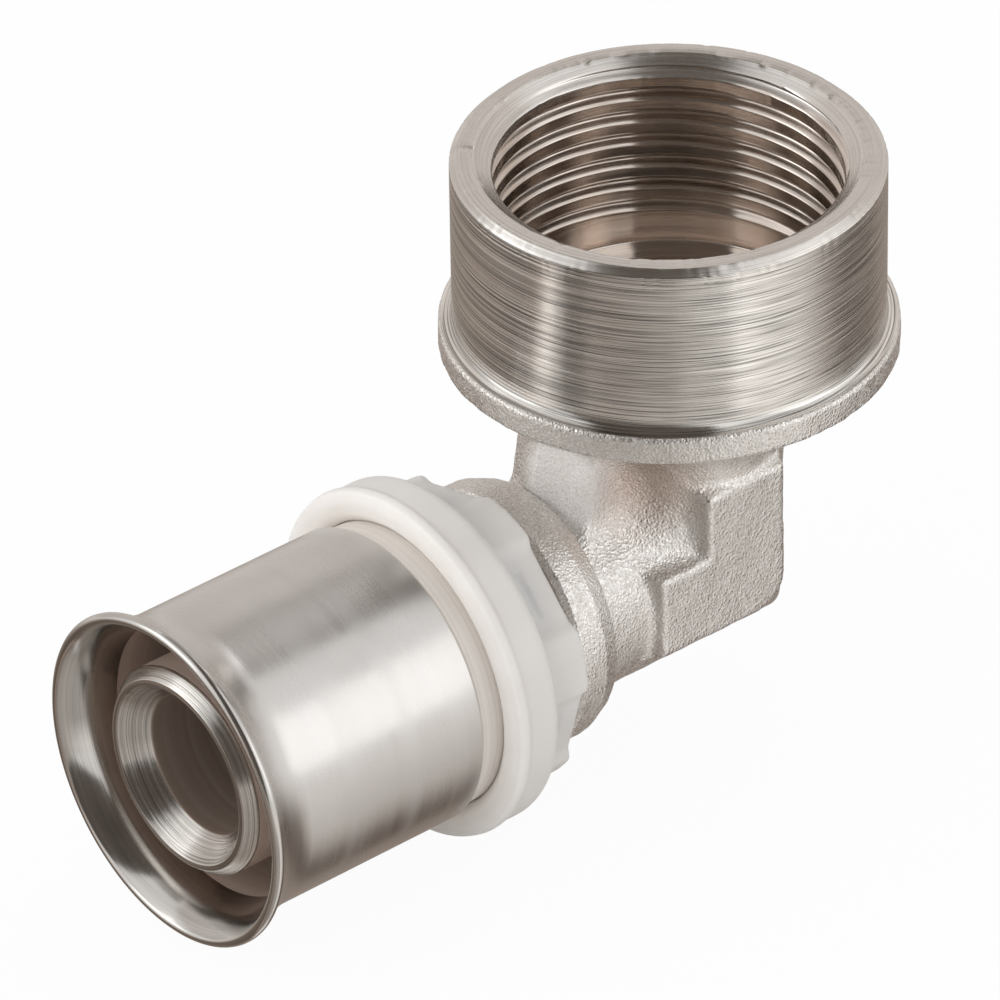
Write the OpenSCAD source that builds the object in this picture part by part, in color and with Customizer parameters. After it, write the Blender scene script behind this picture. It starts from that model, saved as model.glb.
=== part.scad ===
// Female threaded press elbow for multilayer pipe.
// The frame has Z along the socket axis, out of its mouth, and the press end points to -X.
// The origin is on the socket axis, where the thread starts below the mouth chamfer.

/* [Threaded socket] */
// Radius of the tapped wall, at the crests of the thread
thread_crest_r = 12.06; // [11:0.01:12.4]
// Length of the tapped wall
thread_len = 12.2; // [9:0.1:14]
// Height of the chamfer between the thread and the mouth
mouth_chamfer = 1; // [0.3:0.1:1.2]
// How far the chamfer widens the mouth
mouth_flare = 1.3; // [0.8:0.1:1.8]
// Radius of the turned outside of the socket
socket_r = 15; // [14.4:0.1:18]
// Chamfer on the outer edge of the mouth
rim_chamfer = 0.7; // [0.2:0.1:0.8]
// Depth of the smooth groove under the thread
relief_h = 0.9; // [0.5:0.1:1.5]
// How far the smooth groove is cut past the crests of the thread
relief_cut = 0.5; // [0.2:0.1:1]
// Radius of the water hole in the floor of the socket
floor_hole_r = 5.6; // [4.6:0.1:6]
// Fall of the conical floor from the groove to the water hole
floor_fall = 1.2; // [0.4:0.1:2]

/* [Flange] */
// Radius of the corner between the turned wall and the turned face of the flange
wall_fillet = 0.7; // [0.3:0.1:0.9]
// How far the forged flange stands out past the socket
flange_step = 1; // [1:0.1:3]
// Thickness of the flange at its rim
flange_h = 2.1; // [1:0.1:4]
// Worn edge of the forged flange
flange_edge = 0.5; // [0.2:0.1:0.8]
// Distance from the mouth down to the turned face of the flange
flange_depth = 12.8; // [8:0.1:12.9]
// Fillet between the underside of the flange and the vertical neck
flange_fillet = 2.2; // [1:0.1:3]

/* [Forged elbow] */
// Distance from the start of the thread down to the press axis
axis_drop = 30.1; // [28:0.1:36]
// Radius of both necks where they meet
neck_r = 7.62; // [7.3:0.01:8.4]
// How much the vertical neck widens up to the flange
neck_flare = 0.45; // [0:0.05:1]
// Inner radius of the bend between the necks
bend_inner_r = 2.4; // [1.5:0.1:3]
// Half the distance between the two raised flats
flat_reach = 8.3; // [8:0.1:10]
// How far each flat goes past the socket axis, away from the press end
flat_back = 3.3; // [2:0.1:5]
// How far the low leg of each flat goes towards the press end
flat_front = 7.9; // [6:0.1:9]
// How far the tall leg of each flat goes towards the press end
flat_leg_front = 3.65; // [2.5:0.05:5]
// Height of the tall leg of each flat above the press axis
flat_top = 8.4; // [6:0.1:10]
// Height of the low leg of each flat above the press axis
flat_leg_top = 3.4; // [2:0.1:5]
// Depth of each flat below the press axis
flat_bottom = 2.9; // [2:0.1:4]
// Corner radius at the heel of each flat
heel_r = 2.2; // [1:0.1:2.5]
// Draft angle of the walls of the flats
draft_angle = 10; // [4:1:15]
// Distance from the socket axis to the ridge of the gusset
gusset_reach = 12.2; // [10:0.1:12.8]
// Half the width of the gusset
gusset_half_w = 4; // [2:0.1:5]
// How far the ridge of the gusset stands out past its edges
gusset_ridge = 1.7; // [0.5:0.1:2.5]

/* [Collar and hub] */
// Distance from the socket axis to the back of the collar
collar_back = 12.85; // [12.85:0.05:14]
// Thickness of the collar
collar_h = 3.75; // [2.5:0.05:5]
// Radius of the collar
collar_r = 9.75; // [9:0.05:11]
// How much smaller the collar is at its back edge
collar_taper = 0.6; // [0.1:0.1:1]
// Gap between the collar and the stop ring
ring_gap = 0.45; // [0.3:0.05:1]
// Radius of the hub between the collar and the stop ring
hub_r = 8.7; // [8.6:0.05:8.9]
// Radius of the groove that the stop ring snaps into
ring_groove_r = 8.05; // [7.6:0.05:8.2]
// Width of that groove, and of the web of the ring in it
ring_groove_w = 1.6; // [1:0.1:2.2]
// Radius of the bead that holds the stop ring, where the pipe ends
bead_r = 8.4; // [8.3:0.05:8.5]
// Width of that bead
bead_w = 0.7; // [0.4:0.1:1]

/* [Spigot] */
// Radius of the water bore through the spigot
bore_r = 5.15; // [4.4:0.05:5.4]
// Distance from the socket axis to the tip of the spigot
spigot_reach = 44.3; // [42:0.1:48]
// Outer radius of the plain lands of the spigot
spigot_r = 7.7; // [7.4:0.05:7.85]
// Outer radius of the teeth that hold the pipe
tooth_r = 7.95; // [7.9:0.01:8]
// Length of one tooth
tooth_pitch = 1.6; // [1.2:0.1:2]
// Number of teeth in each group
tooth_count = 3; // [1:1:3]
// Radius of the floor of each seal groove
seal_groove_r = 6.4; // [6.2:0.05:6.6]
// Width of each seal groove
seal_groove_w = 2.3; // [2:0.1:3]
// Distance from the tip to the middle of the front seal groove
seal_front = 7.2; // [5:0.1:8]
// Distance between the two seal grooves
seal_spacing = 8; // [7:0.1:9]
// Radius of the front edge of the tip
tip_r = 7; // [6.4:0.1:7.2]
// Length of the outer chamfer at the tip
tip_h = 0.8; // [0.4:0.1:1.5]
// Length of the inner taper at the tip
tip_taper = 2; // [1:0.1:4]
// Width of the flat ring left at the front of the tip
tip_land = 0.4; // [0.2:0.1:0.6]

/* [Press sleeve] */
// Outer radius of the sleeve
sleeve_r = 10.95; // [10.85:0.05:11.2]
// Wall of the sleeve
sleeve_wall = 0.85; // [0.75:0.05:1]
// Wall of the turned down end of the sleeve
sleeve_end_wall = 0.4; // [0.3:0.05:0.5]
// Length of the turned down end that shows ahead of the stop ring
sleeve_end_show = 1.3; // [0.6:0.1:2]
// Depth of the sleeve in the stop ring
sleeve_seat = 2.5; // [1.5:0.1:2.8]
// Distance from the tip of the spigot to the lip of the flare
flare_past_tip = 0.6; // [0:0.1:2]
// Length of the flare
flare_len = 3.5; // [2.5:0.1:5]
// How far the flare widens
flare_rise = 1.2; // [0.8:0.05:2]

/* [Stop ring] */
// Outer radius of the lip at the front of the ring
ring_lip_r = 13.05; // [12.9:0.05:15]
// Width of the lip at the front of the ring
ring_lip_w = 1.3; // [0.8:0.1:2.4]
// Outer radius of the flange behind the lip
ring_flange_r = 12.75; // [12.2:0.05:12.9]
// Length of the flange with its lip
ring_flange_h = 4.1; // [3.4:0.1:6]
// Depth of the dished front face
ring_dish = 0.8; // [0.2:0.1:1]
// Radius at the bottom of the dished front face
ring_dish_r = 11.1; // [11:0.05:11.8]
// Outer radius of the back part of the ring
ring_back_r = 11.25; // [11.1:0.05:12]
// Length of the back part of the ring
ring_back_h = 3.85; // [3:0.05:4.5]
// Number of inspection windows round the ring
window_count = 6; // [2:1:6]
// Angle from the top of the ring to the first window
window_turn = 14; // [0:1:60]
// Width of the pocket at each window
window_w = 5.8; // [4:0.1:6]
// Wall between the pocket and the pipe chamber inside the ring
window_wall = 0.3; // [0.2:0.05:0.7]
// Width of the slot through the ring at each window
window_slot_w = 3.8; // [2:0.1:3.9]
// Rounding of the outer edges of the ring
ring_edge = 0.35; // [0.1:0.05:0.5]

/* [Seals] */
// Radius of the section of each seal ring
seal_section_r = 0.85; // [0.7:0.05:0.95]
// Clearance between a seal ring and the floor of its groove
seal_clear = 0.05; // [0.02:0.01:0.1]

/* [Hidden] */
$fn = 96;
cut = 1;
fit_clear = 0.05;
drill_angle = 59;

rim_z = mouth_chamfer;
mouth_r = thread_crest_r + mouth_flare;
flange_r = socket_r + flange_step;
flange_top_z = rim_z - flange_depth;
flange_low_z = flange_top_z - flange_h;
relief_top_z = -thread_len;
relief_low_z = relief_top_z - relief_h;
floor_z = relief_low_z - floor_fall;
floor_wall = 2;
under_z = min(flange_low_z, floor_z - floor_wall) - 1;
neck_top_r = neck_r + neck_flare;

collar_front = collar_back + collar_h;
ring_back = collar_front + ring_gap;
groove_front = ring_back + ring_groove_w;
bead_front = groove_front + bead_w;
ring_step = ring_back + ring_back_h;
ring_front = ring_step + ring_flange_h;
sleeve_back = ring_front - sleeve_seat;
sleeve_step = ring_front + sleeve_end_show;
sleeve_bore_r = sleeve_r - sleeve_wall;
sleeve_end_r = sleeve_bore_r + sleeve_end_wall;
lip_front = spigot_reach + flare_past_tip;
flare_start = lip_front - flare_len;
flare_angle = 2 * atan(flare_rise / flare_len);
flare_arc_r = flare_len / sin(flare_angle);
seal_front_at = spigot_reach - seal_front;
seal_back_at = seal_front_at - seal_spacing;
seal_ring_r = seal_groove_r + seal_clear + seal_section_r;
window_at = sleeve_bore_r + window_wall;
window_ledge = 0.15;

metal = [0.78, 0.74, 0.70];
steel = [0.74, 0.72, 0.70];
milky = [0.93, 0.92, 0.90, 0.9];
black_rubber = [0.08, 0.08, 0.08];

// Places a shape made along +Z on the press axis, pointing out of the press end.
module on_press_axis() {
    translate([0, 0, -axis_drop])
        rotate([0, -90, 0])
            children();
}

// Half outline of the turned socket, the flange and the cone under it, as radius and height.
module socket_outline() {
    difference() {
        polygon([
            [0, rim_z],
            [socket_r - rim_chamfer, rim_z],
            [socket_r, rim_z - rim_chamfer],
            [socket_r, flange_top_z + wall_fillet],
            [socket_r + wall_fillet, flange_top_z + wall_fillet],
            [socket_r + wall_fillet, flange_top_z],
            [flange_r - flange_edge / 2, flange_top_z],
            [flange_r, flange_top_z - flange_edge / 2],
            [flange_r, flange_low_z + flange_edge],
            [flange_r - flange_edge, flange_low_z],
            [neck_top_r + flange_fillet, under_z],
            [neck_top_r + flange_fillet, under_z - flange_fillet],
            [0, under_z - flange_fillet]
        ]);
        translate([socket_r + wall_fillet, flange_top_z + wall_fillet])
            circle(r = wall_fillet);
        translate([neck_top_r + flange_fillet, under_z - flange_fillet])
            circle(r = flange_fillet);
    }
}

// Half outline of the tapped hole with its chamfer, smooth groove and conical floor.
module socket_hole_outline() {
    polygon([
        [0, rim_z + cut],
        [mouth_r + cut * (mouth_r - thread_crest_r) / mouth_chamfer, rim_z + cut],
        [thread_crest_r, 0],
        [thread_crest_r, relief_top_z],
        [thread_crest_r + relief_cut, relief_top_z - relief_cut],
        [thread_crest_r + relief_cut, relief_low_z],
        [floor_hole_r, floor_z],
        [floor_hole_r, -axis_drop - floor_hole_r * 0.4],
        [0, -axis_drop - floor_hole_r * 0.4 - floor_hole_r / tan(drill_angle)]
    ]);
}

// The two necks, mitred at the heel, with a bend that fills their inner corner.
module necks() {
    bend_r = neck_r + bend_inner_r;
    intersection() {
        on_press_axis()
            translate([0, 0, -neck_r - cut])
                cylinder(r = neck_r, h = collar_back + neck_r + 2 * cut);
        translate([0, 0, -axis_drop])
            union() {
                cylinder(r = neck_r, h = 2 * neck_r + 2, center = true);
                translate([-collar_back - 2 * cut, -neck_r - cut, -neck_r - cut])
                    cube([collar_back + 2 * cut, 2 * neck_r + 2 * cut, 2 * neck_r + 2 * cut]);
            }
    }
    translate([0, 0, -axis_drop])
        cylinder(r1 = neck_r, r2 = neck_top_r, h = axis_drop + under_z);
    translate([-bend_r, 0, bend_r - axis_drop])
        rotate([90, 0, 0])
            rotate([0, 0, -90])
                rotate_extrude(angle = 90)
                    translate([bend_r, 0])
                        circle(r = neck_r - 0.12);
}

// One leg of a raised flat: a drafted block between two heights and two reaches.
module flat_leg(x_low, x_high, z_low, z_high, corner) {
    base_y = 2.5;
    spread = (flat_reach - base_y) * tan(draft_angle);
    skin = 0.01;
    hull() {
        translate([0, -flat_reach + skin, 0])
            rotate([90, 0, 0])
                linear_extrude(height = skin)
                    leg_outline(x_low, x_high, z_low, z_high, corner, 0);
        translate([0, -base_y, 0])
            rotate([90, 0, 0])
                linear_extrude(height = skin)
                    leg_outline(x_low, x_high, z_low, z_high, corner, spread);
    }
}

// Rectangle with one rounded corner at its high x and low z, grown by a spread.
module leg_outline(x_low, x_high, z_low, z_high, corner, spread) {
    union() {
        translate([x_low - spread, z_low - spread])
            square([x_high - x_low + 2 * spread - corner, z_high - z_low + 2 * spread]);
        translate([x_low - spread, z_low - spread + corner])
            square([x_high - x_low + 2 * spread, z_high - z_low + 2 * spread - corner]);
        translate([x_high + spread - corner, z_low - spread + corner])
            circle(r = corner, $fn = 32);
    }
}

// The raised flat on one side, an L with its tall leg on the socket axis.
module raised_flat() {
    translate([0, 0, -axis_drop]) {
        flat_leg(-flat_leg_front, flat_back, -flat_bottom, flat_top, heel_r);
        flat_leg(-flat_front, flat_back, -flat_bottom, flat_leg_top, heel_r);
    }
}

// Ridged block in the inner corner, from the neck up into the flange.
module gusset() {
    edge_x = gusset_reach - gusset_ridge;
    translate([0, 0, -axis_drop])
        linear_extrude(height = axis_drop + flange_low_z + 0.2)
            polygon([
                [-gusset_reach, 0],
                [-edge_x, -gusset_half_w],
                [-1, -gusset_half_w],
                [-1, gusset_half_w],
                [-edge_x, gusset_half_w]
            ]);
}

// Points of one group of teeth, as radius and distance, that starts at a distance.
function teeth(start) = [
    for (i = [0 : tooth_count - 1])
        for (p = [[tooth_r, 0.15], [spigot_r - 0.25, 0.95]])
            [p[0], start + (i + p[1]) * tooth_pitch]
];

// Half outline of the collar, the hub, the ring groove and the spigot, as radius and distance.
module press_outline() {
    teeth_len = tooth_count * tooth_pitch;
    front_teeth = (seal_front_at + seal_back_at - teeth_len) / 2;
    back_teeth = bead_front + 1;
    polygon(concat(
        [
            [0, collar_back],
            [collar_r - collar_taper, collar_back],
            [collar_r, collar_back + 1.4],
            [collar_r, collar_front - 0.4],
            [collar_r - 0.4, collar_front],
            [hub_r, collar_front],
            [hub_r, ring_back],
            [ring_groove_r, ring_back],
            [ring_groove_r, groove_front],
            [bead_r, groove_front],
            [bead_r, bead_front - 0.3],
            [spigot_r, bead_front],
            [spigot_r, back_teeth]
        ],
        teeth(back_teeth),
        [[spigot_r, back_teeth + teeth_len]],
        seal_groove(seal_back_at),
        [[spigot_r, front_teeth]],
        teeth(front_teeth),
        [[spigot_r, front_teeth + teeth_len]],
        seal_groove(seal_front_at),
        [
            [spigot_r, spigot_reach - tip_h],
            [tip_r, spigot_reach],
            [0, spigot_reach]
        ]
    ));
}

// Points of a seal groove centred at a distance.
function seal_groove(at) = [
    [spigot_r, at - seal_groove_w / 2],
    [seal_groove_r, at - seal_groove_w / 2],
    [seal_groove_r, at + seal_groove_w / 2],
    [spigot_r, at + seal_groove_w / 2]
];

// The water bore from the tip to the elbow, with the taper at the tip and a drill point.
module water_bore() {
    on_press_axis()
        rotate_extrude()
            polygon([
                [0, -bore_r / tan(drill_angle)],
                [bore_r, 0],
                [bore_r, spigot_reach - tip_taper],
                [tip_r - tip_land, spigot_reach],
                [tip_r - tip_land, spigot_reach + cut],
                [0, spigot_reach + cut]
            ]);
}

// Everything that is solid on the forging, before its two bores.
module solid_forging() {
    rotate_extrude()
        socket_outline();
    necks();
    raised_flat();
    mirror([0, 1, 0])
        raised_flat();
    gusset();
    on_press_axis()
        rotate_extrude()
            press_outline();
}

module elbow_body() {
    color(metal)
        difference() {
            difference() {
                solid_forging();
                water_bore();
            }
            rotate_extrude()
                socket_hole_outline();
        }
}

// Wall of the flare: an arc that leaves the sleeve tangent to it, with a rounded lip.
module flare_outline() {
    centre_r = sleeve_r + flare_arc_r;
    far = flare_arc_r + sleeve_wall + 1;
    lip_mid = flare_arc_r + sleeve_wall / 2;
    intersection() {
        translate([centre_r, flare_start])
            difference() {
                circle(r = flare_arc_r + sleeve_wall);
                circle(r = flare_arc_r);
            }
        translate([centre_r, flare_start])
            polygon([
                [0, 0],
                [-far * 1.2, 0],
                [-far * 1.2, far * 1.2 * tan(flare_angle)]
            ]);
    }
    translate([centre_r - lip_mid * cos(flare_angle), flare_start + lip_mid * sin(flare_angle)])
        circle(r = sleeve_wall / 2, $fn = 32);
}

module press_sleeve() {
    color(steel)
        on_press_axis()
            rotate_extrude() {
                polygon([
                    [sleeve_bore_r, sleeve_back],
                    [sleeve_end_r, sleeve_back],
                    [sleeve_end_r, sleeve_step - 0.3],
                    [sleeve_r - 0.15, sleeve_step],
                    [sleeve_r, sleeve_step + 0.15],
                    [sleeve_r, flare_start],
                    [sleeve_bore_r, flare_start]
                ]);
                flare_outline();
            }
}

// Half outline of the stop ring: the web in its groove, the pipe chamber and the sleeve seat.
module ring_outline() {
    lip_back = ring_front - ring_lip_w;
    polygon([
        [ring_groove_r + fit_clear, ring_back],
        [ring_back_r - ring_edge, ring_back],
        [ring_back_r, ring_back + ring_edge],
        [ring_back_r, ring_step],
        [ring_flange_r - ring_edge, ring_step],
        [ring_flange_r, ring_step + ring_edge],
        [ring_flange_r, lip_back],
        [ring_lip_r, lip_back + (ring_lip_r - ring_flange_r)],
        [ring_lip_r, ring_front - ring_edge],
        [ring_lip_r - ring_edge, ring_front],
        [ring_lip_r - 2 * ring_edge, ring_front],
        [ring_dish_r, ring_front - ring_dish],
        [ring_dish_r, ring_front - ring_dish - 0.5],
        [sleeve_end_r + fit_clear, ring_front - ring_dish - 0.5],
        [sleeve_end_r + fit_clear, sleeve_back],
        [sleeve_bore_r, sleeve_back],
        [sleeve_bore_r, groove_front],
        [ring_groove_r + fit_clear, groove_front]
    ]);
}

// One inspection window: a pocket in the back part and a slot into the pipe chamber.
module window_cut() {
    flat_low = ring_back - cut;
    flat_high = ring_step - window_ledge;
    slot_low = groove_front + window_ledge;
    slot_high = flat_high - window_ledge;
    translate([window_at, -window_w / 2, flat_low])
        cube([ring_flange_r, window_w, flat_high - flat_low]);
    translate([sleeve_bore_r - cut, -window_slot_w / 2, slot_low])
        cube([ring_flange_r, window_slot_w, slot_high - slot_low]);
}

module stop_ring() {
    color(milky)
        on_press_axis()
            difference() {
                rotate_extrude()
                    ring_outline();
                for (i = [0 : window_count - 1])
                    rotate([0, 0, window_turn + i * 360 / window_count])
                        window_cut();
            }
}

// Round section seal ring, centred in its groove at a distance.
module seal(at) {
    on_press_axis()
        translate([0, 0, at])
            rotate_extrude()
                translate([seal_ring_r, 0])
                    circle(r = seal_section_r, $fn = 48);
}

module seal_front_ring() {
    color(black_rubber)
        seal(seal_front_at);
}

module seal_back_ring() {
    color(black_rubber)
        seal(seal_back_at);
}

elbow_body();
press_sleeve();
stop_ring();
seal_front_ring();
seal_back_ring();
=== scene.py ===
import math

import bpy
import numpy as np
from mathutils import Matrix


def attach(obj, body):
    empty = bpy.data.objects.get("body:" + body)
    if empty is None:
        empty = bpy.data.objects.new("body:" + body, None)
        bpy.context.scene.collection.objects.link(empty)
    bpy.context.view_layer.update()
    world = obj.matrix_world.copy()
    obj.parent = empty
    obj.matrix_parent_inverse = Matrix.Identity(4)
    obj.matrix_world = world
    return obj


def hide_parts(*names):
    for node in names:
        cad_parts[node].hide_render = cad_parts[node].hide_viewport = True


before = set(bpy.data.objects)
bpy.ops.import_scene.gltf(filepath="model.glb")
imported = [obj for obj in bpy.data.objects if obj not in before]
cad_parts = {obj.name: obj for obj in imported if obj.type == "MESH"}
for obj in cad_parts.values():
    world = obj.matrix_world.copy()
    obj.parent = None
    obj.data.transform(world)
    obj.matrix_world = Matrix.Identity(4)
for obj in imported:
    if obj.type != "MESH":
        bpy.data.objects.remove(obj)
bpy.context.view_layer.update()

MM = 0.001

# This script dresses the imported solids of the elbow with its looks: the forged and turned surfaces,
# the thread, the satin sleeve and the milky ring, in a plain studio at the photograph's view.
# Sizes and places are in millimetres. Z runs along the socket's axis, out of its mouth, and the
# press end points to -X. Heights on the socket start where the thread starts, and places on the
# press end, called s, are distances from the socket's axis.
AXIS_Z = -30.1
PRESS_ORIGIN = (0.0, 0.0, AXIS_Z * MM)

# Threaded socket
MOUTH_Z = 1.0
MOUTH_R = 13.38
RIM_R = 14.5
SOCKET_R = 15.0
RIM_CHAMFER = 0.5
CREST_R = 12.06
ROOT_R = 12.66
THREAD_PITCH = 1.814
THREAD_END = -11.7
RELIEF_R = 12.3
RELIEF_TOP = -12.4
FLOOR_HOLE_R = 5.6

# Forged elbow
FLANGE_R = 15.95
NECK_R = 7.62
FLAT_REACH = 8.3
FLAT_BACK = 3.3
FLAT_BOTTOM = -2.9
DRAFT = 0.176
WATER_R = 5.15

# Spigot
COLLAR_R = 9.75
HUB_R = 8.7
RING_GROOVE_R = 8.05
BEAD_R = 8.4
SPIGOT_R = 7.7
TIP_AT = 44.3

# Stop ring
RING_BACK_R = 11.25
RING_FLANGE_R = 12.75
RING_LIP_R = 13.05
RING_START = 17.05
RING_END = 25.0
WINDOW_COUNT = 6
WINDOW_TURN = 14

# Sleeve
SLEEVE_BORE_R = 10.1
SLEEVE_R = 10.95
SLEEVE_WALL = 0.85
SLEEVE_START = 22.5

# Camera: place in metres, turns in degrees, lens in millimetres
CAMERA_PLACE = (-0.3945, -0.4538, 0.3765)
CAMERA_TURN = 50.13
CAMERA_DROP = 33.88
CAMERA_ROLL = -0.94
CAMERA_LENS = 374.04

# The studio's cards are set out from the camera's side, round a point near the object's middle.
TOWARDS_CAMERA = math.atan2(CAMERA_PLACE[1], CAMERA_PLACE[0])
STUDIO_PLACE = (0, 0, -0.02)
FLOOR_Z = -0.0433
WHITE = (1, 1, 1, 1)


def set_camera():
    """The photograph's long lens, looking down at 34 degrees."""
    elevation = math.radians(CAMERA_DROP)
    azimuth = math.radians(CAMERA_TURN)
    roll = math.radians(CAMERA_ROLL)
    forward = np.array([math.cos(elevation) * math.cos(azimuth),
                        math.cos(elevation) * math.sin(azimuth),
                        -math.sin(elevation)])
    right = np.cross(forward, [0.0, 0.0, 1.0])
    right /= np.linalg.norm(right)
    up = np.cross(right, forward)
    right, up = (math.cos(roll) * right + math.sin(roll) * up,
                 math.cos(roll) * up - math.sin(roll) * right)
    data = bpy.data.cameras.new("view")
    data.lens = CAMERA_LENS
    data.sensor_width = 36
    data.sensor_fit = "HORIZONTAL"
    data.clip_start = 0.01
    data.clip_end = 20
    camera = bpy.data.objects.new("view", data)
    bpy.context.collection.objects.link(camera)
    camera.matrix_world = placed(right, up, -forward, CAMERA_PLACE)
    bpy.context.scene.camera = camera


def placed(x_axis, y_axis, z_axis, place):
    """The matrix of an object with these axes at a place."""
    matrix = np.eye(4)
    for column, vector in enumerate((x_axis, y_axis, z_axis, place)):
        matrix[:3, column] = vector
    return matrix.T.tolist()


def outward(points, faces):
    """The faces turned so that the closed surface's normals point out."""
    a, b, c, d = (points[faces[:, i]] for i in range(4))
    volume = np.einsum("ij,ij->", a, np.cross(b, c)) + np.einsum("ij,ij->", a, np.cross(c, d))
    return faces if volume > 0 else faces[:, ::-1]


def piece(name, points, faces, materials, node, kinds=None, origin=(0, 0, 0), sharp=40):
    """A closed mesh from points in millimetres, riding on the body and standing for a node.

    kinds holds the index of each face's material, and edges over the angle sharp stay sharp.
    """
    mesh = bpy.data.meshes.new(name)
    mesh.from_pydata((points * MM).tolist(), [], outward(points, faces).tolist())
    for material in materials:
        mesh.materials.append(material)
    if kinds is not None:
        mesh.polygons.foreach_set("material_index", kinds)
    mesh.shade_smooth()
    mesh.set_sharp_from_angle(angle=math.radians(sharp))
    obj = bpy.data.objects.new(name, mesh)
    bpy.context.collection.objects.link(obj)
    obj.location = origin
    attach(obj, "root")
    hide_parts(node)
    return obj


def rounded(corners, steps=5):
    """A closed outline from (radius, height, fillet, material), with its corners rounded."""
    shortest_fillet, straight = 1e-4, 3.1
    outline, kinds = [], []
    for i, (r, h, fillet, kind) in enumerate(corners):
        here = np.array([r, h], float)
        before = np.array(corners[i - 1][:2], float) - here
        after = np.array(corners[(i + 1) % len(corners)][:2], float) - here
        len_before, len_after = np.linalg.norm(before), np.linalg.norm(after)
        before, after = before / len_before, after / len_after
        angle = math.acos(max(-1.0, min(1.0, float(before @ after))))
        reach = fillet / math.tan(angle / 2) if fillet > 0 and angle < straight else 0
        reach = min(reach, 0.48 * len_before, 0.48 * len_after)
        if reach < shortest_fillet:
            outline.append(here)
            kinds.append(kind)
            continue
        start, end = here + before * reach, here + after * reach
        for t in np.linspace(0, 1, steps):
            outline.append((1 - t) ** 2 * start + 2 * t * (1 - t) * here + t ** 2 * end)
            kinds.append(kind)
    return np.array(outline), np.array(kinds)


def refined(outline, kinds, longest):
    """The outline with long segments cut into shorter ones."""
    points, out_kinds = [], []
    for i, (p, kind) in enumerate(zip(outline, kinds)):
        q = outline[(i + 1) % len(outline)]
        n = max(1, int(math.ceil(np.linalg.norm(q - p) / longest)))
        for j in range(n):
            points.append(p + (q - p) * j / n)
            out_kinds.append(kind)
    return np.array(points), np.array(out_kinds)


def ring_faces(around, along):
    """Quads of a surface closed both around and along its outline."""
    i, j = np.meshgrid(np.arange(around), np.arange(along), indexing="ij")
    i2, j2 = (i + 1) % around, (j + 1) % along
    corners = [i * along + j, i * along + j2, i2 * along + j2, i2 * along + j]
    return np.stack(corners, -1).reshape(-1, 4)


def lathe(outline, around, press):
    """Points of an outline turned about the socket's axis or, from its own origin, the press axis."""
    turn = np.linspace(0, 2 * math.pi, around, endpoint=False)[:, None]
    outline = np.broadcast_to(outline, (around,) + outline.shape[-2:])
    r, h = outline[..., 0], outline[..., 1]
    if press:
        points = np.stack([-h, r * np.sin(turn), r * np.cos(turn)], -1)
    else:
        points = np.stack([r * np.cos(turn), r * np.sin(turn), h], -1)
    return points.reshape(-1, 3)


def smooth_min(a, b, k):
    """The smaller of two distances, with their seam filled over a width k."""
    h = np.clip(0.5 + 0.5 * (b - a) / k, 0, 1)
    return b * (1 - h) + a * h - k * h * (1 - h)


def smooth_max(a, b, k):
    """The larger of two distances, with their edge rounded over a width k."""
    return -smooth_min(-a, -b, k)


def cell_points(values, low, step):
    """One point in each grid cell that the zero surface crosses, and the number of each cell."""
    inside = values < 0
    corners = [(a, b, c) for a in (0, 1) for b in (0, 1) for c in (0, 1)]
    cut = tuple(n - 1 for n in values.shape)
    count = sum(inside[a:a + cut[0], b:b + cut[1], c:c + cut[2]].astype(np.int8) for a, b, c in corners)
    cells = np.argwhere((count > 0) & (count < 8))
    number = np.full(cut, -1, np.int64)
    number[tuple(cells.T)] = np.arange(len(cells))
    total = np.zeros((len(cells), 3))
    hits = np.zeros(len(cells))
    for a in corners:
        for b in corners:
            if a < b and sum(abs(p - q) for p, q in zip(a, b)) == 1:
                va = values[tuple((cells + a).T)]
                vb = values[tuple((cells + b).T)]
                crossing = (va < 0) != (vb < 0)
                t = np.where(crossing, va / np.where(crossing, va - vb, 1), 0)[:, None]
                spot = np.array(a) * (1 - t) + np.array(b) * t
                total += np.where(crossing[:, None], spot, 0)
                hits += crossing
    return np.array(low) + (cells + total / hits[:, None]) * step, number


def cell_faces(values, number):
    """A quad round each grid edge that the zero surface crosses."""
    inside = values < 0
    cut = number.shape
    faces = []
    for axis in range(3):
        u, v = (axis + 1) % 3, (axis + 2) % 3
        first = [slice(None)] * 3
        second = [slice(None)] * 3
        first[axis], second[axis] = slice(None, -1), slice(1, None)
        edges = np.argwhere(inside[tuple(first)] != inside[tuple(second)])
        within = (edges[:, u] > 0) & (edges[:, v] > 0) & (edges[:, u] < cut[u]) & (edges[:, v] < cut[v])
        edges = edges[within]
        leaves = inside[tuple(edges.T)]
        quad = []
        for du, dv in ((-1, -1), (0, -1), (0, 0), (-1, 0)):
            cell = edges.copy()
            cell[:, u] += du
            cell[:, v] += dv
            quad.append(number[tuple(cell.T)])
        quad = np.stack(quad, -1)
        quad[~leaves] = quad[~leaves][:, ::-1]
        faces.append(quad)
    return np.concatenate(faces)


def settled(field, points, step, rounds=3, probe=0.01):
    """The points moved onto the zero surface, along the field's slope."""
    flattest, furthest = 0.2, 0.4 * step
    for _ in range(rounds):
        x, y, z = points.T
        slope = np.stack([field(x + probe, y, z) - field(x - probe, y, z),
                          field(x, y + probe, z) - field(x, y - probe, z),
                          field(x, y, z + probe) - field(x, y, z - probe)], -1) / (2 * probe)
        size = np.maximum((slope ** 2).sum(-1), flattest)
        move = slope * (field(x, y, z) / size)[:, None]
        length = np.linalg.norm(move, axis=-1, keepdims=True)
        points = points - move * np.minimum(1, furthest / np.maximum(length, 1e-9))
    return points


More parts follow.
